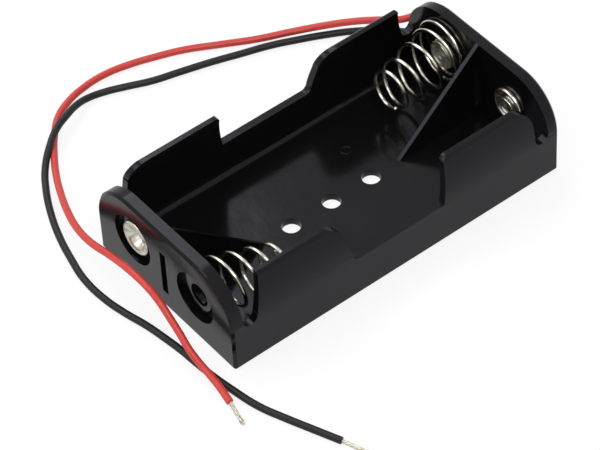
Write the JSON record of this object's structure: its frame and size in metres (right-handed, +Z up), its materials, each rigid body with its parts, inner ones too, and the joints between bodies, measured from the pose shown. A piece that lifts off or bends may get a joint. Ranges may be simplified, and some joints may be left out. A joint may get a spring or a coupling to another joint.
{
  "type": "cylindrical cell holder",
  "caption": "Open moulded tray that holds two round cells side by side, with coil spring and rivet contacts and a red and a black lead.",
  "frame": {"origin": "Middle of the underside of the moulded tray, without the leads and their solder joints.", "axes": "+X runs along the cells toward the end with the two soldered leads, +Y runs across them toward the bay of the negative spring, +Z is up out of the open bays."},
  "size_m": [0.0678, 0.0832, 0.015],
  "materials": {
    "black_moulding": "glossy black moulding",
    "spring_wire": "nickel-plated spring wire",
    "nickel_rivet": "nickel-plated rivet",
    "solder": "solder",
    "red_insulation": "soft red insulation",
    "black_insulation": "soft black insulation",
    "tinned_strands": "tinned copper strands"
  },
  "bodies": {
    "holder": {"holder_body": "black_moulding", "negative_rivet": "nickel_rivet", "positive_rivet": "nickel_rivet", "link_eyelet": "nickel_rivet", "red_solder_joint": "solder", "black_solder_joint": "solder", "red_lead": "red_insulation", "black_lead": "black_insulation", "red_lead_tip": "tinned_strands", "black_lead_tip": "tinned_strands"},
    "negative_coil": {"negative_spring": "spring_wire"},
    "link_coil": {"link_spring": "spring_wire"}
  },
  "joints": [
    {"name": "negative_spring_travel", "type": "slide", "parent": "holder", "child": "negative_coil", "axis": [1, 0, 0], "range_m": [0, 0.007], "stiffness_N_per_m": 500, "deforming": ["negative_spring"]},
    {"name": "link_spring_travel", "type": "slide", "parent": "holder", "child": "link_coil", "axis": [-1, 0, 0], "range_m": [0, 0.007], "stiffness_N_per_m": 500, "deforming": ["link_spring"]}
  ]
}
